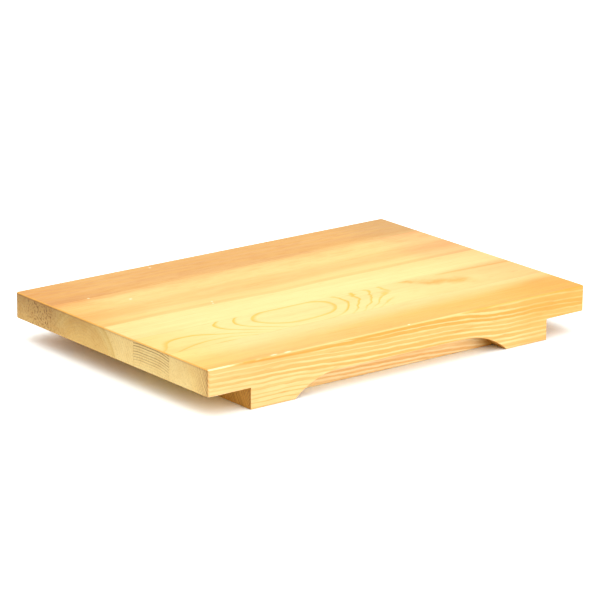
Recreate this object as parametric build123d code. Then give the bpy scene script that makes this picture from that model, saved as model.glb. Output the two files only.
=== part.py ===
from build123d import *
from math import sqrt
import os

# Sushi geta board: a serving board glued up from pine staves that stands on two foot rails.
# The origin is on the table under the middle of the board.
# +X runs along the length, +Y to the back and +Z up. All sizes are in millimetres.

# The board
board_length = 350.0
board_width = 240.0
board_thickness = 20.0

# The foot rails, which are the lower part of the front and rear staves
foot_height = 16.0
end_overhang = 37.0

# The staves, from front to back: rail stave, cathedral stave, heart stave, rail stave
rail_stave_width = 46.0
cathedral_stave_width = 43.0

# The finger recess in each rail: a stopped rebate with the run-out of a round cutter at both ends
recess_cutter_radius = 60.0
recess_end_land = 39.5
recess_height = 15.0
recess_depth = 15.0

# Sanded edges
corner_radius = 2.0
top_edge_radius = 1.2
lower_edge_radius = 0.6

# The blind dowels that line the staves up in their glued seams
dowel_diameter = 8.0
dowel_length = 30.0
dowel_chamfer = 1.0
dowel_end_margin = 60.0
dowel_glue_gap = 0.1
dowel_end_gap = 1.0

# Places that follow from the sizes above
half_length = board_length / 2
half_width = board_width / 2
top_height = foot_height + board_thickness
rail_half_length = half_length - end_overhang
front_seam = rail_stave_width - half_width
middle_seam = front_seam + cathedral_stave_width
rear_seam = half_width - rail_stave_width
recess_runout = sqrt(2 * recess_cutter_radius * recess_height - recess_height**2)
recess_straight_length = 2 * (rail_half_length - recess_end_land - recess_runout)
dowel_height = foot_height + board_thickness / 2
dowel_reach = half_length - dowel_end_margin

# The dowels of the middle seam stand halfway between those of the outer seams,
# so that dowels from both sides of the narrow stave pass each other.
outer_seam_places = [-dowel_reach, 0.0, dowel_reach]
middle_seam_places = [-dowel_reach / 2, dowel_reach / 2]

# Edges are picked by their place, to within this distance
place_tolerance = 0.01


def block(x_low, x_high, y_low, y_high, z_low, z_high):
    """A block between two opposite corners."""
    middle = ((x_low + x_high) / 2, (y_low + y_high) / 2, (z_low + z_high) / 2)
    return Pos(*middle) * Box(x_high - x_low, y_high - y_low, z_high - z_low)


def foot_rail(side):
    """The foot under the front edge (side -1) or the back edge (side 1)."""
    y_outer = side * half_width
    y_inner = side * (half_width - rail_stave_width)
    y_low = min(y_outer, y_inner)
    y_high = max(y_outer, y_inner)
    return block(-rail_half_length, rail_half_length, y_low, y_high, 0.0, foot_height)


def finger_recess(side):
    """The space that the round cutter sweeps as it runs along the rail's outer face."""
    cutter_axis = (0.0, side * half_width, recess_height - recess_cutter_radius)
    face = Plane(origin=cutter_axis, x_dir=(1, 0, 0), z_dir=(0, -side, 0))
    sweep = SlotCenterToCenter(recess_straight_length, 2 * recess_cutter_radius)
    return extrude(face * sweep, recess_depth)


def near(value, place):
    """Whether a measure lies at a place."""
    return abs(value - place) < place_tolerance


def eased(panel):
    """The glued panel with its outer edges sanded round."""
    upright_edges = panel.edges().filter_by(Axis.Z)
    corners = [edge for edge in upright_edges if near(abs(edge.center().X), half_length)]
    panel = fillet(corners, corner_radius)

    top_face = panel.faces().sort_by(Axis.Z)[-1]
    panel = fillet(top_face.edges(), top_edge_radius)

    lower_edges = []
    for edge in panel.edges():
        middle = edge.center()
        past_the_rails = abs(middle.X) > rail_half_length + place_tolerance
        under_the_ends = near(middle.Z, foot_height) and past_the_rails
        rail_arris = near(abs(middle.X), rail_half_length) and middle.Z < foot_height - place_tolerance
        on_the_table = near(edge.bounding_box().max.Z, 0.0)
        outer_face = near(abs(middle.Y), half_width) and edge.bounding_box().size.Y < place_tolerance
        recess_rim = outer_face and near(edge.bounding_box().max.Z, recess_height)
        if under_the_ends or rail_arris or on_the_table or recess_rim:
            lower_edges.append(edge)
    return fillet(lower_edges, lower_edge_radius)


def glued_panel():
    """The whole board as it leaves the clamps and the sander, before it is parted into staves."""
    panel = block(-half_length, half_length, -half_width, half_width, foot_height, top_height)
    for side in (-1, 1):
        panel = panel + (foot_rail(side) - finger_recess(side))
    return eased(panel)


def dowel(place, seam):
    """A dowel across a seam, with chamfered ends."""
    rod = Cylinder(dowel_diameter / 2, dowel_length)
    rod = chamfer(rod.edges().filter_by(GeomType.CIRCLE), dowel_chamfer)
    return Pos(place, seam, dowel_height) * Rot(90, 0, 0) * rod


def dowel_hole(place, seam):
    """The blind holes for a dowel on both sides of its seam, with room for glue."""
    bore = Cylinder(dowel_diameter / 2 + dowel_glue_gap, dowel_length + 2 * dowel_end_gap)
    return Pos(place, seam, dowel_height) * Rot(90, 0, 0) * bore


def stave(panel, y_front, y_back, seams):
    """The strip of the panel between two seams, drilled for the dowels of each of its seams."""
    strip = panel & block(-half_length, half_length, y_front, y_back, 0.0, top_height)
    for seam, places in seams:
        for place in places:
            strip = strip - dowel_hole(place, seam)
    return strip


def dowel_group(seam, places):
    """All the dowels of one seam."""
    return Compound([dowel(place, seam) for place in places])


front = (front_seam, outer_seam_places)
middle = (middle_seam, middle_seam_places)
rear = (rear_seam, outer_seam_places)

panel = glued_panel()
nodes = {
    "front_rail_stave": stave(panel, -half_width, front_seam, [front]),
    "cathedral_stave": stave(panel, front_seam, middle_seam, [front, middle]),
    "heart_stave": stave(panel, middle_seam, rear_seam, [middle, rear]),
    "rear_rail_stave": stave(panel, rear_seam, half_width, [rear]),
    "front_seam_dowels": dowel_group(*front),
    "middle_seam_dowels": dowel_group(*middle),
    "rear_seam_dowels": dowel_group(*rear),
}

os.makedirs("parts", exist_ok=True)
for name, shape in nodes.items():
    export_step(shape, f"parts/{name}.step")
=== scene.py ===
from math import cos, radians, sin

import bpy
from mathutils import Matrix, Vector

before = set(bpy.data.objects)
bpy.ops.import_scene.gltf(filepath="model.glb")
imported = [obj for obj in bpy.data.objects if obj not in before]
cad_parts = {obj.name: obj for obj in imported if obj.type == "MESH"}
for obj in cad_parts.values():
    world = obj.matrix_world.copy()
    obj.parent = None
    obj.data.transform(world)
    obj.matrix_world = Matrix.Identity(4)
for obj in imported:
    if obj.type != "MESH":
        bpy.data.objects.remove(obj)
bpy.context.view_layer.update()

# Sushi geta board: four bare pine staves glued edge to edge, with hidden beech dowels in the seams.
# The solids in model.glb have the right shapes, so this file only gives them their wood and a studio.
# Inside the wood all places and sizes are in millimetres.

MM = 1000.0
TOP = 36.0
BOARD_UNDERSIDE = 16.0
FRONT_SEAM = -74.0
MIDDLE_SEAM = -31.0
REAR_SEAM = 74.0

# The spread of a hill in the rings that runs on almost unchanged through the whole board
ENDLESS = 900.0

# The view: turn about the upright axis, look down, tilt, distance, side and up shifts, lens, film, reach
VIEW_TURN = radians(38.01)
VIEW_DOWN = radians(16.47)
VIEW_TILT = radians(0.34)
VIEW_DISTANCE = 2.5046
VIEW_SIDE = -0.0009
VIEW_LIFT = 0.0258
VIEW_LENS = 201.0
VIEW_FILM_WIDTH = 36.0
VIEW_REACH = 50.0

# The studio: a white tent with dim side walls, warm low at the left, one soft light in front, a pale floor
TENT_LIGHT = 2.58
LEFT_DIMMING = 0.5
RIGHT_DIMMING = 0.6
TENT_WHITE = (1.0, 1.0, 1.0, 1.0)
TENT_WARM = (1.0, 0.68, 0.30, 1.0)
FRONT_LIGHT_PLACE = (1.0, -1.7, 0.3)
FRONT_LIGHT_WIDTH = 1.6
FRONT_LIGHT_HEIGHT = 0.5
FRONT_LIGHT_POWER = 19.5
FLOOR_HALF = 6.0
FLOOR_DROP = 0.0002
FLOOR_COLOUR = (0.89, 0.945, 0.95, 1.0)
FLOOR_ROUGHNESS = 0.9

# Where the tent's parts begin and are full, by how far a direction of length 1 points right or up
LEFT_WALL = (-0.1, -0.7)
RIGHT_WALL = (0.0, 0.6)
UNDER_ROOF = (0.98, 0.6)
WARM_HEIGHT = (0.6, 0.1)

# How the bare sanded wood takes the light
WOOD_GLOSS = 0.22
WOOD_ROUGHNESS = 0.6
FIBRE_ROUGHNESS = 0.15
FIBRE_SMOOTHNESS = 0.08
LINE_SMOOTHNESS = 0.1
CUT_ROUGHNESS = 0.15
BEECH_FLECK_ROUGHNESS = 0.1
FIBRE_RELIEF = 0.5
LINE_RELIEF = 0.4
RELIEF_STRENGTH = 0.3
RELIEF_DEPTH = 0.3 / MM

# How strongly each mark shows on the staves, from 0 to 1
CLOUD_SHOWS = 0.8
STREAK_SHOWS = 0.4
CANAL_SHOWS = 0.5
GLUE_SHOWS = 0.5
PORES_SHOW = 0.5
RIM_SHOWS = 0.75
ARRIS_SHOWS = 0.8
PALE_SPOT_SHOWS = 0.7

# Where in a ring, from 0 to 1, the share of summer wood is counted back from, and its sharp edge starts
LATE_WOOD_BACK = 0.92
LATE_WOOD_EDGE = 0.94

# The sockets of a mix node that are for colours
MIX_AMOUNT = 0
MIX_FIRST = 6
MIX_SECOND = 7
MIX_RESULT = 2


# Nodes

def place(tree, kind, **settings):
    """A new node, with some of its settings."""
    made = tree.nodes.new(kind)
    for name, value in settings.items():
        setattr(made, name, value)
    return made


def feed(tree, socket, source):
    """Links a source into a socket, or sets the socket where the source is a plain value."""
    if isinstance(source, bpy.types.NodeSocket):
        tree.links.new(source, socket)
    else:
        socket.default_value = source


def calc(tree, operation, *sources):
    """A sum on numbers."""
    made = place(tree, "ShaderNodeMath", operation=operation)
    for socket, source in zip(made.inputs, sources):
        feed(tree, socket, source)
    return made.outputs[0]


def times(tree, first, *others):
    """Numbers multiplied together."""
    for other in others:
        first = calc(tree, "MULTIPLY", first, other)
    return first


def vector_calc(tree, operation, *sources):
    """A sum on places."""
    made = place(tree, "ShaderNodeVectorMath", operation=operation)
    for socket, source in zip(made.inputs, sources):
        feed(tree, socket, source)
    return made.outputs["Value" if operation == "DOT_PRODUCT" else "Vector"]


def scaled(tree, vector, factor):
    """A place times a number."""
    made = place(tree, "ShaderNodeVectorMath", operation="SCALE")
    feed(tree, made.inputs[0], vector)
    feed(tree, made.inputs["Scale"], factor)
    return made.outputs["Vector"]


def drawn_out(tree, vector, share):
    """A place with its measure along the board shrunk, which draws noise on it out along the board."""
    return vector_calc(tree, "MULTIPLY", vector, (share, 1.0, 1.0))


def parts_of(tree, vector):
    """The three numbers of a place."""
    made = place(tree, "ShaderNodeSeparateXYZ")
    feed(tree, made.inputs[0], vector)
    return made.outputs[0], made.outputs[1], made.outputs[2]


def smooth(tree, value, low, high, start=0.0, end=1.0):
    """A soft step from start to end as the value goes from low to high."""
    made = place(tree, "ShaderNodeMapRange", interpolation_type="SMOOTHSTEP")
    settings = {"Value": value, "From Min": low, "From Max": high, "To Min": start, "To Max": end}
    for name, source in settings.items():
        feed(tree, made.inputs[name], source)
    return made.outputs["Result"]


def slope(tree, value, low, high):
    """A straight rise from 0 to 1 as the value goes from low to high."""
    made = place(tree, "ShaderNodeMapRange")
    for name, source in {"Value": value, "From Min": low, "From Max": high}.items():
        feed(tree, made.inputs[name], source)
    return made.outputs["Result"]


def band(tree, value, start, full, fading, end):
    """A soft band: it comes in from the start until it is full, and fades until its end."""
    return times(tree, smooth(tree, value, start, full), smooth(tree, value, end, fading))


def blend(tree, amount, first, second, kind="MIX"):
    """The first colour, with some of the second laid over it."""
    made = place(tree, "ShaderNodeMix", data_type="RGBA", blend_type=kind)
    feed(tree, made.inputs[MIX_AMOUNT], amount)
    feed(tree, made.inputs[MIX_FIRST], first)
    feed(tree, made.inputs[MIX_SECOND], second)
    return made.outputs[MIX_RESULT]


def tint(tree, amount, colour, dye):
    """A colour, with some of a dye multiplied into it."""
    return blend(tree, amount, colour, dye, "MULTIPLY")


def zones(tree, value, stops):
    """Colours that change softly along a measure, from a list of (measure, colour)."""
    low = stops[0][0]
    high = stops[-1][0]
    ramp = place(tree, "ShaderNodeValToRGB")
    marks = ramp.color_ramp.elements
    while len(marks) < len(stops):
        marks.new(0.5)
    for mark, (measure, colour) in zip(marks, stops):
        mark.position = (measure - low) / (high - low)
        mark.color = colour
    feed(tree, ramp.inputs["Fac"], slope(tree, value, low, high))
    return ramp.outputs["Color"]


def noise(tree, source, size, detail=2.0, rough=0.5, dimensions="3D"):
    """Soft noise from 0 to 1 about one size across, over a place, or over a number in 1D."""
    made = place(tree, "ShaderNodeTexNoise", noise_dimensions=dimensions)
    feed(tree, made.inputs["W" if dimensions == "1D" else "Vector"], source)
    feed(tree, made.inputs["Scale"], 1.0 / size)
    feed(tree, made.inputs["Detail"], detail)
    feed(tree, made.inputs["Roughness"], rough)
    return made.outputs[0]


def noise_about_zero(tree, source, size, **settings):
    """Soft noise from -0.5 to 0.5."""
    return calc(tree, "SUBTRACT", noise(tree, source, size, **settings), 0.5)


def group(name, inputs, outputs):
    """An empty node group with named sockets."""
    kinds = {"number": "NodeSocketFloat", "vector": "NodeSocketVector", "colour": "NodeSocketColor"}
    tree = bpy.data.node_groups.new(name, "ShaderNodeTree")
    for direction, sockets in (("INPUT", inputs), ("OUTPUT", outputs)):
        for socket_name, kind in sockets:
            tree.interface.new_socket(socket_name, in_out=direction, socket_type=kinds[kind])
    return tree, place(tree, "NodeGroupInput").outputs, place(tree, "NodeGroupOutput").inputs


def use(tree, made_group, **sources):
    """Places a group and feeds its inputs, which are named in lower case here."""
    made = place(tree, "ShaderNodeGroup", node_tree=made_group)
    for name, source in sources.items():
        feed(tree, made.inputs[name.capitalize()], source)
    return made.outputs


# Effects that the staves share

def grain_swell():
    """A rounded hill or hollow in the growth rings."""
    tree, given, gives = group(
        "Grain swell",
        [("Place", "vector"), ("Centre", "vector"), ("Spread", "vector"), ("Height", "number")],
        [("Lift", "number")])
    away = vector_calc(tree, "SUBTRACT", given["Place"], given["Centre"])
    away = vector_calc(tree, "DIVIDE", away, given["Spread"])
    fall = times(tree, vector_calc(tree, "DOT_PRODUCT", away, away), -1.0)
    feed(tree, gives["Lift"], times(tree, calc(tree, "EXPONENT", fall), given["Height"]))
    return tree


def growth_rings():
    """Growth rings about a pith that runs along the board and may rise or fall on its way."""
    tree, given, gives = group(
        "Growth rings",
        [("Place", "vector"), ("Pith", "vector"), ("Fall", "number"), ("Lift", "number"),
         ("Wander", "number"), ("Spacing", "number"), ("Unevenness", "number")],
        [("Distance", "number"), ("Phase", "number"), ("Ring", "number")])
    along, across, up = parts_of(tree, vector_calc(tree, "SUBTRACT", given["Place"], given["Pith"]))
    up = calc(tree, "ADD", calc(tree, "MULTIPLY_ADD", along, given["Fall"], up), given["Lift"])
    radius = calc(tree, "SQRT", calc(tree, "MULTIPLY_ADD", across, across, times(tree, up, up)))
    stretched = drawn_out(tree, given["Place"], 0.3)
    wander = noise_about_zero(tree, stretched, size=22.0, detail=4.0, rough=0.55)
    distance = calc(tree, "MULTIPLY_ADD", wander, given["Wander"], radius)
    counted = calc(tree, "DIVIDE", distance, given["Spacing"])
    uneven = noise_about_zero(tree, counted, size=2.8, detail=1.0, dimensions="1D")
    counted = calc(tree, "MULTIPLY_ADD", uneven, given["Unevenness"], counted)
    chance = place(tree, "ShaderNodeTexWhiteNoise", noise_dimensions="1D")
    feed(tree, chance.inputs["W"], calc(tree, "FLOOR", counted))
    feed(tree, gives["Distance"], distance)
    feed(tree, gives["Phase"], calc(tree, "FRACT", counted))
    feed(tree, gives["Ring"], chance.outputs["Value"])
    return tree


def late_wood():
    """The hard summer wood of each ring: it comes in softly and ends sharply."""
    tree, given, gives = group(
        "Late wood",
        [("Phase", "number"), ("Ring", "number"), ("Share", "number"), ("Ramp", "number"),
         ("Chance", "number")],
        [("Line", "number")])
    start = calc(tree, "SUBTRACT", LATE_WOOD_BACK, given["Share"])
    comes = smooth(tree, given["Phase"], start, calc(tree, "ADD", start, given["Ramp"]))
    goes = smooth(tree, given["Phase"], LATE_WOOD_EDGE, 1.0, 1.0, 0.0)
    strength = calc(tree, "SUBTRACT", 1.0, times(tree, given["Ring"], given["Chance"]))
    feed(tree, gives["Line"], times(tree, comes, goes, strength))
    return tree


def pine_fibre():
    """Long fibres over a colour: broad clouds of tone, fine streaks, short flecks and resin canals."""
    tree, given, gives = group(
        "Pine fibre",
        [("Place", "vector"), ("Colour", "colour"), ("Flecks", "number")],
        [("Colour", "colour"), ("Streak", "number")])
    cloud = noise(tree, drawn_out(tree, given["Place"], 0.08), size=14.0)
    cloudy = smooth(tree, cloud, 0.35, 0.7, 0.0, CLOUD_SHOWS)
    colour = tint(tree, cloudy, given["Colour"], CLOUD_DARK)
    streak = noise(tree, drawn_out(tree, given["Place"], 0.012), size=0.9, detail=3.0, rough=0.6)
    streaked = smooth(tree, streak, 0.35, 0.75, 0.0, STREAK_SHOWS)
    colour = tint(tree, streaked, colour, STREAK_DARK)
    fleck = noise(tree, drawn_out(tree, given["Place"], 0.22), size=3.4, detail=3.0, rough=0.6)
    flecked = times(tree, smooth(tree, fleck, 0.42, 0.68), given["Flecks"])
    colour = tint(tree, flecked, colour, FLECK_DARK)
    canal = noise(tree, drawn_out(tree, given["Place"], 0.06), size=0.7, detail=0.0)
    canals = times(tree, smooth(tree, canal, 0.76, 0.84), CANAL_SHOWS)
    feed(tree, gives["Colour"], tint(tree, canals, colour, CANAL))
    feed(tree, gives["Streak"], streak)
    return tree


def end_grain():
    """Where the fibres are cut across, in full or in the recess run-outs, and where the underside is."""
    tree, _, gives = group(
        "End grain",
        [],
        [("Cut", "number"), ("Uncut", "number"), ("Runout", "number"), ("Under", "number")])
    facing = place(tree, "ShaderNodeNewGeometry").outputs["Normal"]
    along, _, up = parts_of(tree, facing)
    along = calc(tree, "ABSOLUTE", along)
    cut = smooth(tree, along, 0.55, 0.95)
    feed(tree, gives["Cut"], cut)
    feed(tree, gives["Uncut"], smooth(tree, cut, 0.0, 1.0, 1.0, 0.0))
    slopes = times(tree, smooth(tree, along, 0.2, 0.55), smooth(tree, up, -0.3, -0.6))
    feed(tree, gives["Runout"], slopes)
    feed(tree, gives["Under"], smooth(tree, up, -0.5, -0.9))
    return tree


def cut_wood():
    """A colour as it is where the fibres are cut, with pits and a brown rim: painted shade darkens it
    towards the top, and the feet below the board are browner from deeper grain and painted shade.
    """
    tree, given, gives = group(
        "Cut wood",
        [("Place", "vector"), ("Colour", "colour"), ("Tears", "number")],
        [("Colour", "colour"), ("Pits", "number")])
    _, across, up = parts_of(tree, given["Place"])
    colour = tint(tree, 1.0, given["Colour"], END_SHADE)
    # Painted shade: the cut ends darken towards the top, more towards the back
    to_top = slope(tree, up, BOARD_UNDERSIDE + 1.0, TOP - 1.0)
    darkening = times(tree, to_top, smooth(tree, across, -30.0, 70.0, 0.4, 1.0))
    colour = tint(tree, darkening, colour, END_TOP_PAINTED_SHADE)
    # The ends of the feet below the board are browner: deeper end grain, with painted shade of the hollow
    # under the board
    on_foot = smooth(tree, up, BOARD_UNDERSIDE + 0.5, BOARD_UNDERSIDE - 0.5)
    colour = tint(tree, on_foot, colour, FOOT_END_GRAIN_AND_SHADE)
    pores = noise(tree, given["Place"], size=0.9, detail=3.0, rough=0.65)
    pores = smooth(tree, pores, 0.5, 0.75, 0.0, PORES_SHOW)
    colour = tint(tree, pores, colour, END_PORE)
    upright = vector_calc(tree, "MULTIPLY", given["Place"], (1.0, 1.0, 0.7))
    torn = smooth(tree, noise(tree, upright, size=1.4, rough=0.6), 0.53, 0.61)
    torn = times(tree, torn, given["Tears"])
    colour = tint(tree, torn, colour, TORN)
    rim = smooth(tree, up, 33.6, 34.9, 0.0, RIM_SHOWS)
    rim = times(tree, rim, smooth(tree, up, 35.5, 35.1))
    rim = times(tree, rim, smooth(tree, across, 30.0, 90.0, 0.5, 1.0))
    feed(tree, gives["Colour"], blend(tree, rim, colour, END_RIM))
    feed(tree, gives["Pits"], calc(tree, "MAXIMUM", pores, torn))
    return tree


def sanded_arris():
    """The narrow rounded edges: brown where they run across the fibres, with a painted highlight where
    they run along them.
    """
    tree, given, gives = group(
        "Sanded arris",
        [("Colour", "colour"), ("Glint", "number")],
        [("Colour", "colour")])
    facing = place(tree, "ShaderNodeNewGeometry").outputs["Normal"]
    x, y, z = [calc(tree, "ABSOLUTE", number) for number in parts_of(tree, facing)]
    across = times(tree, smooth(tree, times(tree, x, z), 0.28, 0.46), ARRIS_SHOWS)
    colour = blend(tree, across, given["Colour"], ARRIS_ACROSS)
    # Painted highlight on the rounded edges that run along the fibres
    along = times(tree, smooth(tree, times(tree, y, z), 0.1, 0.35), given["Glint"])
    feed(tree, gives["Colour"], blend(tree, along, colour, ARRIS_PAINTED_HIGHLIGHT))
    return tree


def board_ends():
    """The tints of the left and the right end of the board."""
    tree, given, gives = group(
        "Board ends",
        [("Place", "vector"), ("Colour", "colour"), ("Left", "colour"), ("Right", "colour")],
        [("Colour", "colour")])
    along = parts_of(tree, given["Place"])[0]
    cloud = noise_about_zero(tree, given["Place"], size=40.0)
    along = calc(tree, "MULTIPLY_ADD", cloud, 40.0, along)
    to_left = smooth(tree, along, -105.0, -185.0)
    to_right = smooth(tree, along, 95.0, 180.0)
    colour = tint(tree, to_left, given["Colour"], given["Left"])
    feed(tree, gives["Colour"], tint(tree, to_right, colour, given["Right"]))
    return tree


def brown_edge():
    """Where the brown heartwood of the back begins: a soft uneven edge, nearer the front at depth."""
    tree, given, gives = group("Brown edge", [("Place", "vector")], [("Brown", "number")])
    along, across, up = parts_of(tree, given["Place"])
    uneven = noise_about_zero(tree, drawn_out(tree, given["Place"], 0.3), size=18.0, detail=3.0)
    across = calc(tree, "MULTIPLY_ADD", along, -0.02, across)
    across = calc(tree, "MULTIPLY_ADD", uneven, 10.0, across)
    below_top = calc(tree, "SUBTRACT", TOP, up)
    across = calc(tree, "MULTIPLY_ADD", below_top, 0.5, across)
    feed(tree, gives["Brown"], smooth(tree, across, 59.0, 80.0))
    return tree


def glue_line():
    """The hair-thin dark line of a glued seam."""
    tree, given, gives = group(
        "Glue line",
        [("Place", "vector"), ("Colour", "colour"), ("Seam", "number")],
        [("Colour", "colour")])
    across = parts_of(tree, given["Place"])[1]
    away = calc(tree, "ABSOLUTE", calc(tree, "SUBTRACT", across, given["Seam"]))
    line = times(tree, smooth(tree, away, 0.1, 0.5, 1.0, 0.0), GLUE_SHOWS)
    feed(tree, gives["Colour"], tint(tree, line, given["Colour"], GLUE))
    return tree


def pale_spot():
    """A small pale spot."""
    tree, given, gives = group(
        "Pale spot",
        [("Place", "vector"), ("Colour", "colour"), ("Centre", "vector"), ("Spread", "vector")],
        [("Colour", "colour")])
    spot_height = use(tree, GRAIN_SWELL, place=given["Place"], centre=given["Centre"], spread=given["Spread"],
               height=1.0)["Lift"]
    shown = smooth(tree, spot_height, 0.5, 0.9, 0.0, PALE_SPOT_SHOWS)
    feed(tree, gives["Colour"], blend(tree, shown, given["Colour"], PALE_SPOT_COLOUR))
    return tree


def wood_surface():
    """How rough the wood is, and how it rises and falls with its streaks, lines and pits."""
    tree, given, gives = group(
        "Wood surface",
        [("Streak", "number"), ("Line", "number"), ("Cut", "number"), ("Pits", "number")],
        [("Roughness", "number"), ("Relief", "number")])
    between_streaks = WOOD_ROUGHNESS - FIBRE_SMOOTHNESS
    rough = calc(tree, "MULTIPLY_ADD", given["Streak"], FIBRE_ROUGHNESS, between_streaks)
    rough = calc(tree, "MULTIPLY_ADD", given["Line"], -LINE_SMOOTHNESS, rough)
    feed(tree, gives["Roughness"], calc(tree, "MULTIPLY_ADD", given["Cut"], CUT_ROUGHNESS, rough))
    ridges = times(tree, given["Line"], LINE_RELIEF)
    relief = calc(tree, "MULTIPLY_ADD", given["Streak"], FIBRE_RELIEF, ridges)
    pits = times(tree, given["Pits"], given["Cut"])
    feed(tree, gives["Relief"], calc(tree, "MULTIPLY_ADD", pits, -1.0, relief))
    return tree


# Colours of the wood, as shares of red, green and blue light

SAPWOOD = (0.68, 0.48, 0.196, 1.0)
SAPWOOD_EDGE = (0.66, 0.458, 0.178, 1.0)
CATHEDRAL_GROUND = (0.66, 0.462, 0.187, 1.0)
CATHEDRAL_WARM = (0.645, 0.43, 0.166, 1.0)
CATHEDRAL_LINE = (0.53, 0.322, 0.015, 1.0)
CATHEDRAL_LIMB = (0.57, 0.262, 0.028, 1.0)
CATHEDRAL_END_LINE = (0.14, 0.09, 0.03, 1.0)
HEART_CORE = (0.565, 0.345, 0.108, 1.0)
HEART_LIGHT = (0.61, 0.415, 0.148, 1.0)
HEART_RIM = (0.57, 0.37, 0.12, 1.0)
REAR_WOOD = (0.49, 0.272, 0.073, 1.0)
REAR_LINE = (0.43, 0.22, 0.06, 1.0)
REAR_END = (0.50, 0.30, 0.099, 1.0)
FRONT_PALE = (0.66, 0.44, 0.175, 1.0)
FRONT_SIDE_PALE = (0.665, 0.435, 0.188, 1.0)
# Painted light: a paler, bluer copy of the pale wood for the recess
RECESS_PALE_PAINTED_LIGHT = (0.685, 0.52, 0.272, 1.0)
FRONT_GOLD = (0.58, 0.29, 0.036, 1.0)
FRONT_AMBER = (0.54, 0.24, 0.037, 1.0)
FRONT_BLOT = (0.60, 0.265, 0.028, 1.0)
DARK_END_LINE = (0.24, 0.115, 0.04, 1.0)
ARRIS_ACROSS = (0.56, 0.27, 0.04, 1.0)
# Painted highlight for the rounded edges that run along the fibres
ARRIS_PAINTED_HIGHLIGHT = (0.76, 0.59, 0.32, 1.0)
END_RIM = (0.22, 0.10, 0.025, 1.0)
PALE_SPOT_COLOUR = (0.80, 0.72, 0.55, 1.0)
BEECH = (0.62, 0.42, 0.25, 1.0)
BEECH_FLECK = (0.45, 0.26, 0.13, 1.0)

# Tints, which are multiplied into a colour

HEART_LEFT = (0.97, 0.80, 0.58, 1.0)
HEART_RIGHT = (0.95, 0.79, 0.84, 1.0)
SAPWOOD_LEFT = (1.0, 0.94, 0.88, 1.0)
SAPWOOD_RIGHT = (0.98, 0.86, 0.84, 1.0)
CATHEDRAL_LEFT = (0.98, 0.90, 0.69, 1.0)
CATHEDRAL_RIGHT = (0.97, 0.82, 0.76, 1.0)
REAR_LEFT = (0.94, 0.83, 0.64, 1.0)
REAR_RIGHT = (0.86, 0.89, 1.03, 1.0)
FRONT_LEFT = (1.0, 0.97, 0.70, 1.0)
FRONT_RIGHT = (0.98, 0.90, 0.86, 1.0)
NO_TINT = (1.0, 1.0, 1.0, 1.0)
GLUE = (0.80, 0.70, 0.55, 1.0)
END_SHADE = (0.935, 1.03, 1.11, 1.0)
END_TOP_PAINTED_SHADE = (0.62, 0.57, 0.51, 1.0)
FOOT_END_GRAIN_AND_SHADE = (0.88, 0.66, 0.34, 1.0)
END_PORE = (0.50, 0.40, 0.30, 1.0)
TORN = (0.37, 0.28, 0.19, 1.0)
UNDERSIDE = (1.08, 0.94, 0.36, 1.0)
# Painted shade for the faces that look down and along the board: the recess run-outs and the lower edges
# of the ends
RUNOUT_PAINTED_SHADE = (0.52, 0.40, 0.26, 1.0)
# Painted shadow on the recess wall at its right stop
WALL_PAINTED_SHADOW = (0.68, 0.50, 0.16, 1.0)
CANAL = (0.80, 0.66, 0.46, 1.0)
STREAK_DARK = (0.90, 0.84, 0.74, 1.0)
FLECK_DARK = (0.93, 0.83, 0.72, 1.0)
CLOUD_DARK = (0.95, 0.90, 0.84, 1.0)


class Wood:
    """A wood while it is made: its material, its nodes and the place inside the wood."""

    def __init__(self, name):
        self.material = bpy.data.materials.new(name)
        self.material.use_nodes = True
        self.tree = self.material.node_tree
        self.shader = self.tree.nodes["Principled BSDF"]
        self.shader.inputs["Specular IOR Level"].default_value = WOOD_GLOSS
        self.spot = scaled(self.tree, place(self.tree, "ShaderNodeTexCoord").outputs["Object"], MM)


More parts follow.
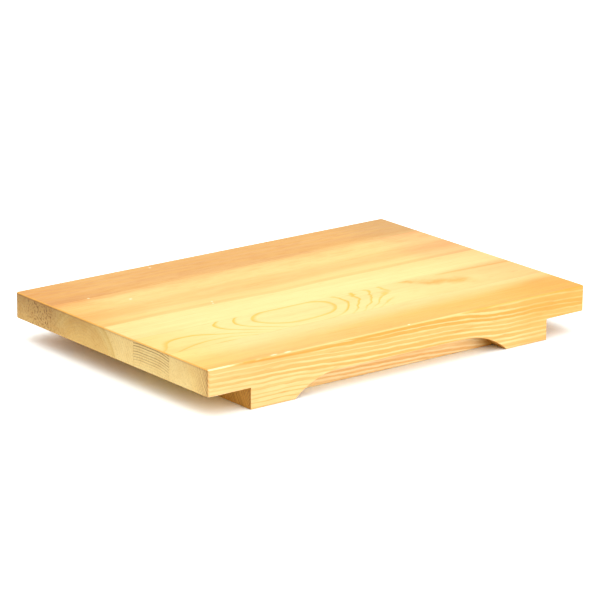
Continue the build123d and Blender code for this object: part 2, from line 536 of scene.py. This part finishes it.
class Stave(Wood):
    """The wood of a pine stave, with where its fibres are cut and where they run along the surface."""

    def __init__(self, name):
        super().__init__(name)
        self.along, self.across, self.up = parts_of(self.tree, self.spot)
        self.grain = use(self.tree, END_GRAIN)
        self.cut = self.grain["Cut"]
        self.uncut = self.grain["Uncut"]

    def hill(self, centre, spread, height):
        """A rounded hill, with its spread along the board, across it and up."""
        made = use(self.tree, GRAIN_SWELL, place=self.spot, centre=centre, spread=spread, height=height)
        return made["Lift"]

    def swells(self, lift, hills):
        """Adds hills to the lift of the rings or to another measure, from (centre, spread, height)."""
        for centre, spread, height in hills:
            lift = calc(self.tree, "ADD", lift, self.hill(centre, spread, height))
        return lift

    def uneven(self, share, size):
        """Noise about zero, drawn out along the board."""
        return noise_about_zero(self.tree, drawn_out(self.tree, self.spot, share), size)

    def rings(self, **settings):
        """Growth rings through the stave."""
        return use(self.tree, GROWTH_RINGS, place=self.spot, **settings)

    def late_lines(self, rings, share, ramp, chance):
        """The lines of summer wood in these rings."""
        made = use(self.tree, LATE_WOOD, phase=rings["Phase"], ring=rings["Ring"], share=share, ramp=ramp,
                   chance=chance)
        return made["Line"]

    def pale_spots(self, colour, spots):
        """Small pale spots in the top, from a list of (along, across, spread)."""
        for along, across, spread in spots:
            marked = use(self.tree, PALE_SPOT, place=self.spot, colour=colour, centre=(along, across, TOP),
                       spread=spread)
            colour = marked["Colour"]
        return colour

    def finish(self, colour, line, seams, tears, left, right, glint=0.5, flecks=0.25):
        """Lays fibres, glue lines, end grain, painted shade on the run-outs, and arrises with a painted
        highlight over the colour, and adds roughness and bump.
        """
        tree = self.tree
        fibre = use(tree, PINE_FIBRE, place=self.spot, colour=colour, flecks=flecks)
        colour = fibre["Colour"]
        for seam in seams:
            colour = use(tree, GLUE_LINE, place=self.spot, colour=colour, seam=seam)["Colour"]
        tanned = use(tree, BOARD_ENDS, place=self.spot, colour=colour, left=left, right=right)
        ends = use(tree, CUT_WOOD, place=self.spot, colour=colour, tears=tears)
        colour = blend(tree, self.cut, tanned["Colour"], ends["Colour"])
        colour = tint(tree, self.grain["Under"], colour, UNDERSIDE)
        # Painted shade on the recess run-outs and the lower edges of the ends
        colour = tint(tree, self.grain["Runout"], colour, RUNOUT_PAINTED_SHADE)
        colour = use(tree, SANDED_ARRIS, colour=colour, glint=glint)["Colour"]
        feed(tree, self.shader.inputs["Base Color"], colour)
        surface = use(tree, WOOD_SURFACE, streak=fibre["Streak"], line=line, cut=self.cut,
                      pits=ends["Pits"])
        feed(tree, self.shader.inputs["Roughness"], surface["Roughness"])
        bump = place(tree, "ShaderNodeBump")
        bump.inputs["Strength"].default_value = RELIEF_STRENGTH
        bump.inputs["Distance"].default_value = RELIEF_DEPTH
        feed(tree, bump.inputs["Height"], surface["Relief"])
        feed(tree, self.shader.inputs["Normal"], bump.outputs["Normal"])
        return self.material


# The front rail stave

def front_gold(stave):
    """How golden the top and the ends are: more to the front and the right, less at depth."""
    tree = stave.tree
    reach = calc(tree, "MULTIPLY_ADD", stave.uneven(0.12, 14.0), 14.0, stave.across)
    reach = calc(tree, "MULTIPLY_ADD", stave.along, -0.03, reach)
    depth = calc(tree, "SUBTRACT", TOP, stave.up)
    reach = calc(tree, "MULTIPLY_ADD", depth, 0.5, reach)
    gold = smooth(tree, reach, -77.0, -103.0)
    return times(tree, gold, smooth(tree, stave.along, -260.0, 160.0, 0.4, 1.0))


def front_top(stave, gold):
    """The colour of the top: pale at the back, golden to amber in front, a blot near the right end."""
    tree = stave.tree
    wood = blend(tree, times(tree, gold, stave.uncut), FRONT_PALE, FRONT_GOLD)
    front_edge = smooth(tree, stave.across, -111.0, -117.0, 0.0, 0.4)
    wood = blend(tree, front_edge, wood, FRONT_AMBER)
    blot = stave.hill(centre=(152.0, -91.5, TOP), spread=(17.0, 4.5, 6.0), height=0.8)
    return blend(tree, blot, wood, FRONT_BLOT)


def front_side(stave, pale, gold, in_recess):
    """The colour of the front and the ends before their lines: amber in front, golden on the ends."""
    tree = stave.tree
    amber = times(tree, stave.uncut, smooth(tree, stave.along, -220.0, -20.0, 0.5, 1.0))
    amber_height = smooth(tree, stave.along, -60.0, 120.0, 38.0, 24.0)
    amber = times(tree, amber, smooth(tree, stave.up, 10.0, amber_height, 0.74, 1.0))
    amber = times(tree, amber, smooth(tree, in_recess, 0.0, 1.0, 1.0, 0.98))
    wood = blend(tree, amber, pale, FRONT_AMBER)
    return blend(tree, times(tree, gold, stave.cut, 0.6), wood, FRONT_GOLD)


def amber_edge_line(stave):
    """An amber line just below the front edge of the top, on the left half, which dips on its way."""
    tree = stave.tree
    dip = calc(tree, "ADD", smooth(tree, stave.along, -145.0, -75.0, -0.8, 1.0),
               smooth(tree, stave.along, -60.0, -20.0, 0.0, -1.0))
    line = band(tree, calc(tree, "ADD", stave.up, dip), 32.7, 33.5, 34.3, 35.0)
    line = times(tree, line, smooth(tree, stave.along, -165.0, -130.0, 0.0, 0.95))
    line = times(tree, line, smooth(tree, stave.along, 60.0, 10.0))
    return times(tree, line, stave.uncut)


def dark_front_end(stave, rings, colour):
    """Lays dark lines on the ends near the front corner and on the foot, and browns the corner."""
    tree = stave.tree
    line = stave.late_lines(rings, share=0.5, ramp=0.3, chance=0.6)
    corner = smooth(tree, stave.across, -100.0, -118.0, 0.2, 0.9)
    foot = smooth(tree, stave.up, BOARD_UNDERSIDE + 1.0, BOARD_UNDERSIDE - 1.0, 0.0, 0.95)
    shown = times(tree, calc(tree, "MAXIMUM", corner, foot), stave.cut)
    colour = blend(tree, times(tree, line, shown), colour, DARK_END_LINE)
    browned = times(tree, smooth(tree, stave.across, -116.5, -119.5, 0.0, 0.5), stave.cut)
    return blend(tree, browned, colour, END_RIM)


def painted_wall_shadow(stave, in_recess):
    """Where a shadow is painted on the wall of the recess, at its right stop."""
    tree = stave.tree
    at_stop = band(tree, stave.along, 78.0, 97.0, 99.0, 101.0)
    on_wall = times(tree, in_recess, smooth(tree, stave.across, -103.0, -104.5))
    on_wall = times(tree, on_wall, calc(tree, "SUBTRACT", 1.0, stave.grain["Runout"]))
    return times(tree, at_stop, on_wall)


def front_glint(stave):
    """How strongly the painted highlight shows on the front edge of the top: in patches at the left,
    evenly in the middle.
    """
    tree = stave.tree
    at_corner = smooth(tree, stave.along, -152.0, -168.0)
    patch = calc(tree, "MULTIPLY_ADD", at_corner, 0.25, stave.uneven(1.0, 16.0))
    left = smooth(tree, stave.along, -120.0, -150.0, 0.0, 0.9)
    left = times(tree, smooth(tree, patch, -0.05, 0.18), left)
    middle = times(tree, band(tree, stave.along, -135.0, -105.0, 45.0, 75.0), 0.3)
    return calc(tree, "MAXIMUM", left, middle)


def front_pine():
    """Front rail stave: straight amber bands with narrow pale lines, paler towards the back."""
    stave = Stave("front_pine")
    tree = stave.tree
    lift = stave.swells(0.0, [
        ((-105.0, 0.0, 0.0), (32.0, ENDLESS, ENDLESS), -1.2),
        ((25.0, 0.0, 0.0), (50.0, ENDLESS, ENDLESS), -1.6),
        ((95.0, 0.0, 0.0), (26.0, ENDLESS, ENDLESS), 1.3)])
    lift = calc(tree, "MULTIPLY_ADD", stave.uneven(0.25, 5.0), 1.8, lift)
    rings = stave.rings(pith=(0.0, -385.0, 159.0), fall=0.043, lift=lift, wander=1.6, spacing=1.65,
                        unevenness=1.0)

    behind_face = smooth(tree, stave.across, -119.5, -117.0)
    in_recess = times(tree, behind_face, smooth(tree, stave.up, BOARD_UNDERSIDE, 14.5))
    up_and_right = calc(tree, "MULTIPLY_ADD", stave.up, 9.0, times(tree, stave.along, 0.6))
    share = stave.swells(smooth(tree, up_and_right, -10.0, 230.0, 0.36, 0.8), [
        ((85.0, 0.0, 32.0), (30.0, ENDLESS, 12.0), -0.22)])
    share = calc(tree, "MULTIPLY_ADD", in_recess, 0.2, share)
    late = stave.late_lines(rings, share=share, ramp=0.22, chance=0.45)

    below_top = smooth(tree, stave.up, 35.9, 34.0)
    pale = blend(tree, below_top, FRONT_PALE, FRONT_SIDE_PALE)
    # Painted light: in the recess the pale wood is a paler, bluer copy, which lightens the shaded wall
    pale = blend(tree, in_recess, pale, RECESS_PALE_PAINTED_LIGHT)
    pale = blend(tree, stave.cut, pale, SAPWOOD)
    gold = front_gold(stave)
    ground = blend(tree, below_top, front_top(stave, gold), front_side(stave, pale, gold, in_recess))
    shown = times(tree, smooth(tree, below_top, 0.0, 1.0, 0.45, 1.0), stave.uncut)
    shown = times(tree, shown, smooth(tree, stave.along, 95.0, 130.0, 1.0, 0.55))
    shown = times(tree, shown, smooth(tree, up_and_right, 130.0, 250.0, 1.0, 0.75))
    shown = times(tree, shown, smooth(tree, stave.uneven(0.06, 3.0), -0.18, 0.1, 0.62, 1.1))
    pale_line = times(tree, calc(tree, "SUBTRACT", 1.0, late), shown)
    colour = blend(tree, pale_line, ground, pale)
    colour = blend(tree, amber_edge_line(stave), colour, FRONT_AMBER)
    colour = dark_front_end(stave, rings, colour)
    # Painted shadow on the recess wall near its right stop
    colour = tint(tree, painted_wall_shadow(stave, in_recess), colour, WALL_PAINTED_SHADOW)
    # Painted highlights: short bright glints on the front edge of the top
    colour = stave.pale_spots(colour, [
        (-117.0, -118.7, (5.0, 1.2, 3.0)),
        (-105.0, -119.0, (5.0, 1.1, 3.0)),
        (5.0, -119.2, (2.0, 0.7, 3.0))])
    left = blend(tree, below_top, FRONT_LEFT, NO_TINT)
    right = blend(tree, below_top, FRONT_RIGHT, NO_TINT)
    return stave.finish(colour, late, [FRONT_SEAM], tears=0.0, left=left, right=right,
                        glint=front_glint(stave))


# The cathedral stave

def cathedral_rings(stave):
    """Rings that fall away on both sides of an oval, with hills that bend and hook their lines."""
    tree = stave.tree
    right_fall = smooth(tree, stave.along, -24.0, 65.0, 0.0, 10.4)
    left_fall = smooth(tree, stave.along, -57.0, -138.0, 0.0, 7.6)
    lift = stave.swells(calc(tree, "ADD", right_fall, left_fall), [
        ((30.0, -82.0, 0.0), (45.0, 30.0, ENDLESS), 5.0),
        ((34.0, -24.0, 0.0), (34.0, 18.0, ENDLESS), -1.8),
        ((-102.0, -84.0, 0.0), (32.0, 26.0, ENDLESS), 4.0),
        ((-150.0, -30.0, 0.0), (38.0, 15.0, ENDLESS), -2.2),
        ((-192.0, -68.0, 0.0), (24.0, 18.0, ENDLESS), -2.6),
        ((-150.0, -56.0, 0.0), (18.0, 12.0, ENDLESS), 0.9)])
    kinks = times(tree, stave.uneven(0.7, 11.0), smooth(tree, stave.along, -6.0, 12.0, 0.0, 2.2))
    lift = calc(tree, "ADD", lift, kinks)
    return stave.rings(pith=(0.0, -49.5, -64.1), fall=0.0, lift=lift, wander=0.6, spacing=2.0,
                       unevenness=0.0)


def cathedral_limb(stave):
    """The broad amber limb to the right of the oval, and the thin line behind it near the seam."""
    tree = stave.tree
    middle = calc(tree, "ADD", smooth(tree, stave.along, 66.0, 86.0, -27.0, -45.0),
                  smooth(tree, stave.along, 84.0, 118.0, 0.0, -10.0))
    middle = calc(tree, "MULTIPLY_ADD", stave.uneven(0.6, 5.0), 10.0, middle)
    off_middle = calc(tree, "ABSOLUTE", calc(tree, "SUBTRACT", stave.across, middle))
    half_width = smooth(tree, stave.along, 76.0, 104.0, 10.0, 13.0)
    reach = band(tree, stave.along, 60.0, 70.0, 114.0, 124.0)
    reach = times(tree, reach, smooth(tree, stave.uneven(0.8, 9.0), -0.16, 0.06, 0.45, 1.0))
    limb = times(tree, smooth(tree, off_middle, half_width, 0.0, 0.0, 0.75), reach)
    off_line = calc(tree, "MULTIPLY_ADD", stave.along, 0.05, calc(tree, "ADD", stave.across, 27.0))
    line = smooth(tree, calc(tree, "ABSOLUTE", off_line), 3.0, 0.0, 0.0, 0.6)
    line = times(tree, line, smooth(tree, stave.along, 98.0, 112.0))
    return calc(tree, "MAXIMUM", limb, line)


def cathedral_pine():
    """Cathedral stave: flat-sawn, with thin arched lines round an oval."""
    stave = Stave("cathedral_pine")
    tree = stave.tree
    rings = cathedral_rings(stave)
    share = smooth(tree, stave.along, -84.0, -72.0, 0.2, 0.27)
    line = stave.late_lines(rings, share=share, ramp=0.22, chance=0.3)
    past_hooks = calc(tree, "MULTIPLY_ADD", stave.across, -0.69, stave.along)
    right_plain = smooth(tree, past_hooks, 73.0, 84.0, 1.0, 0.08)
    front_edge = calc(tree, "MULTIPLY_ADD", smooth(tree, stave.along, -85.0, -100.0), 12.0, stave.across)
    front_plain = smooth(tree, front_edge, -72.0, -62.0, 0.35, 1.0)
    left_plain = smooth(tree, stave.along, -172.0, -150.0, 0.7, 1.0)
    right_faint = smooth(tree, stave.along, -15.0, 5.0, 1.0, 0.9)
    line = times(tree, line, right_plain, front_plain, left_plain, right_faint)
    line = calc(tree, "MAXIMUM", line, cathedral_limb(stave))
    end_line = stave.late_lines(rings, share=0.36, ramp=0.16, chance=0.75)
    end_line = times(tree, end_line, smooth(tree, stave.up, 18.0, 28.0, 0.15, 0.85))
    line = times(tree, line, stave.uncut)
    line = calc(tree, "MULTIPLY_ADD", end_line, stave.cut, line)
    line_wood = blend(tree, smooth(tree, stave.along, 60.0, 75.0), CATHEDRAL_LINE, CATHEDRAL_LIMB)
    line_wood = blend(tree, stave.cut, line_wood, CATHEDRAL_END_LINE)
    warm = times(tree, smooth(tree, stave.along, 45.0, 85.0), stave.uncut)
    ground = blend(tree, warm, CATHEDRAL_GROUND, CATHEDRAL_WARM)
    colour = blend(tree, line, ground, line_wood)
    return stave.finish(colour, line, [FRONT_SEAM, MIDDLE_SEAM], tears=0.15, left=CATHEDRAL_LEFT,
                        right=CATHEDRAL_RIGHT)


# The heart stave, the rear rail stave and the dowels

def heart_pine():
    """Heart stave: pale sapwood in front of a sharp straight edge, orange heartwood behind."""
    stave = Stave("heart_pine")
    tree = stave.tree
    lift = smooth(tree, stave.along, -50.0, -120.0, 0.0, 0.9)
    lift = stave.swells(lift, [((-18.0, 0.0, 0.0), (28.0, ENDLESS, ENDLESS), -1.5)])
    rings = stave.rings(pith=(0.0, 32.0, 0.0), fall=0.0, lift=lift, wander=1.6, spacing=2.6,
                        unevenness=0.5)
    colour = zones(tree, rings["Distance"], [
        (30.0, HEART_CORE),
        (35.8, HEART_CORE),
        (40.0, HEART_LIGHT),
        (41.0, HEART_LIGHT),
        (42.6, HEART_RIM),
        (44.4, HEART_RIM),
        (45.4, SAPWOOD_EDGE),
        (54.0, SAPWOOD),
        (80.0, SAPWOOD)])
    behind = times(tree, smooth(tree, stave.across, 40.0, 50.0), stave.uncut)
    colour = blend(tree, behind, colour, HEART_LIGHT)
    warm = times(tree, smooth(tree, stave.across, -25.5, -28.5), smooth(tree, stave.along, 40.0, 90.0))
    colour = blend(tree, times(tree, warm, stave.uncut), colour, CATHEDRAL_WARM)
    brown = use(tree, BROWN_EDGE, place=stave.spot)["Brown"]
    colour = blend(tree, brown, colour, blend(tree, stave.cut, REAR_WOOD, REAR_END))
    line = stave.late_lines(rings, share=0.6, ramp=0.6, chance=0.5)
    shown = smooth(tree, rings["Distance"], 44.0, 46.0, 0.25, 0.08)
    colour = blend(tree, times(tree, line, shown), colour, HEART_RIM)
    colour = blend(tree, times(tree, line, stave.cut, 0.16), colour, DARK_END_LINE)
    colour = stave.pale_spots(colour, [
        (-142.0, 73.0, (1.6, 1.6, 3.0)),
        (-118.0, 53.0, (2.0, 1.8, 3.0)),
        (-76.0, 8.0, (1.0, 1.6, 3.0)),
        (-74.0, 12.0, (1.0, 1.8, 3.0))])
    tears = smooth(tree, stave.across, 46.0, 94.0, 0.0, 0.95)
    flecks = smooth(tree, stave.across, 10.0, 74.0, 0.2, 0.7)
    sap = smooth(tree, rings["Distance"], 44.5, 45.4)
    sap = times(tree, sap, smooth(tree, stave.across, 32.0, 25.0))
    left = blend(tree, sap, HEART_LEFT, SAPWOOD_LEFT)
    right = blend(tree, sap, HEART_RIGHT, SAPWOOD_RIGHT)
    return stave.finish(colour, line, [MIDDLE_SEAM, REAR_SEAM], tears, left, right, flecks=flecks)


def rear_pine():
    """Rear rail stave: plain orange-brown heartwood with fine faint rings."""
    stave = Stave("rear_pine")
    tree = stave.tree
    rings = stave.rings(pith=(0.0, 75.0, -40.0), fall=0.01, lift=0.0, wander=3.0, spacing=2.4,
                        unevenness=0.6)
    line = stave.late_lines(rings, share=0.7, ramp=0.5, chance=0.5)
    ground = blend(tree, stave.cut, REAR_WOOD, REAR_END)
    ground = blend(tree, use(tree, BROWN_EDGE, place=stave.spot)["Brown"], HEART_LIGHT, ground)
    shown = smooth(tree, stave.up, 35.9, 34.0, 0.35, 0.8)
    shown = times(tree, shown, smooth(tree, stave.cut, 0.0, 1.0, 1.0, 0.35))
    colour = blend(tree, times(tree, line, shown), ground, REAR_LINE)
    colour = stave.pale_spots(colour, [(-58.0, 113.0, (1.4, 1.6, 3.0))])
    tears = smooth(tree, stave.across, 112.0, 90.0, 0.3, 0.9)
    return stave.finish(colour, line, [REAR_SEAM], tears, REAR_LEFT, REAR_RIGHT, flecks=0.7)


def dowel_beech():
    """Beech of the hidden dowels: pinkish, with short dark flecks along the dowel."""
    dowel = Wood("dowel_beech")
    tree = dowel.tree
    stretched = vector_calc(tree, "MULTIPLY", dowel.spot, (1.0, 0.25, 1.0))
    fleck = smooth(tree, noise(tree, stretched, size=0.7, detail=1.0), 0.55, 0.75)
    feed(tree, dowel.shader.inputs["Base Color"], blend(tree, fleck, BEECH, BEECH_FLECK))
    rough = calc(tree, "MULTIPLY_ADD", fleck, BEECH_FLECK_ROUGHNESS, WOOD_ROUGHNESS)
    feed(tree, dowel.shader.inputs["Roughness"], rough)
    return dowel.material


GRAIN_SWELL = grain_swell()
GROWTH_RINGS = growth_rings()
LATE_WOOD = late_wood()
PINE_FIBRE = pine_fibre()
END_GRAIN = end_grain()
CUT_WOOD = cut_wood()
SANDED_ARRIS = sanded_arris()
BOARD_ENDS = board_ends()
BROWN_EDGE = brown_edge()
GLUE_LINE = glue_line()
PALE_SPOT = pale_spot()
WOOD_SURFACE = wood_surface()

wood_of_piece = {
    "front_rail_stave": front_pine(),
    "cathedral_stave": cathedral_pine(),
    "heart_stave": heart_pine(),
    "rear_rail_stave": rear_pine(),
}
beech = dowel_beech()
for seam_dowels in ("front_seam_dowels", "middle_seam_dowels", "rear_seam_dowels"):
    wood_of_piece[seam_dowels] = beech

for piece, wood in wood_of_piece.items():
    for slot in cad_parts[piece].material_slots:
        slot.material = wood


# The studio

def set_floor():
    """A plain pale floor."""
    mesh = bpy.data.meshes.new("floor")
    corners = [(-FLOOR_HALF, -FLOOR_HALF, -FLOOR_DROP), (FLOOR_HALF, -FLOOR_HALF, -FLOOR_DROP),
               (FLOOR_HALF, FLOOR_HALF, -FLOOR_DROP), (-FLOOR_HALF, FLOOR_HALF, -FLOOR_DROP)]
    mesh.from_pydata(corners, [], [(0, 1, 2, 3)])
    material = bpy.data.materials.new("floor_paper")
    material.use_nodes = True
    shader = material.node_tree.nodes["Principled BSDF"]
    shader.inputs["Base Color"].default_value = FLOOR_COLOUR
    shader.inputs["Roughness"].default_value = FLOOR_ROUGHNESS
    shader.inputs["Specular IOR Level"].default_value = 0.0
    mesh.materials.append(material)
    floor = bpy.data.objects.new("floor", mesh)
    bpy.context.scene.collection.objects.link(floor)


def set_lights():
    """A white tent with dim side walls, warm low at the left, and one low soft light in front."""
    world = bpy.data.worlds.new("white_tent")
    world.use_nodes = True
    tree = world.node_tree
    tent = tree.nodes["Background"]
    x, _, z = parts_of(tree, place(tree, "ShaderNodeTexCoord").outputs["Generated"])
    to_left = smooth(tree, x, *LEFT_WALL)
    to_right = smooth(tree, x, *RIGHT_WALL)
    under_roof = smooth(tree, z, *UNDER_ROOF)
    warm = times(tree, to_left, smooth(tree, z, *WARM_HEIGHT))
    feed(tree, tent.inputs["Color"], blend(tree, warm, TENT_WHITE, TENT_WARM))
    strength = TENT_LIGHT
    for side, dimming in ((to_left, LEFT_DIMMING), (to_right, RIGHT_DIMMING)):
        wall = times(tree, side, under_roof)
        strength = calc(tree, "MULTIPLY_ADD", wall, -dimming * TENT_LIGHT, strength)
    feed(tree, tent.inputs["Strength"], strength)
    bpy.context.scene.world = world
    lamp = bpy.data.lights.new("front_light", "AREA")
    lamp.shape = "RECTANGLE"
    lamp.size = FRONT_LIGHT_WIDTH
    lamp.size_y = FRONT_LIGHT_HEIGHT
    lamp.energy = FRONT_LIGHT_POWER
    stand = bpy.data.objects.new("front_light", lamp)
    stand.location = FRONT_LIGHT_PLACE
    stand.rotation_euler = (-Vector(FRONT_LIGHT_PLACE)).to_track_quat("-Z", "Y").to_euler()
    bpy.context.scene.collection.objects.link(stand)


def set_camera():
    """The photograph's view."""
    ahead = Vector((sin(VIEW_TURN) * cos(VIEW_DOWN), cos(VIEW_TURN) * cos(VIEW_DOWN), -sin(VIEW_DOWN)))
    level_right = Vector((cos(VIEW_TURN), -sin(VIEW_TURN), 0.0))
    level_up = level_right.cross(ahead)
    right = level_right * cos(VIEW_TILT) + level_up * sin(VIEW_TILT)
    up = level_up * cos(VIEW_TILT) - level_right * sin(VIEW_TILT)
    lens = bpy.data.cameras.new("view")
    lens.lens = VIEW_LENS
    lens.sensor_width = VIEW_FILM_WIDTH
    lens.clip_end = VIEW_REACH
    camera = bpy.data.objects.new("view", lens)
    pose = Matrix((right, up, -ahead)).transposed().to_4x4()
    pose.translation = right * VIEW_SIDE + up * VIEW_LIFT - ahead * VIEW_DISTANCE
    camera.matrix_world = pose
    bpy.context.scene.collection.objects.link(camera)
    bpy.context.scene.camera = camera


set_floor()
set_lights()
set_camera()
look = bpy.context.scene.view_settings
look.view_transform = "Standard"
look.look = "None"
look.exposure = 0.0
look.gamma = 1.0
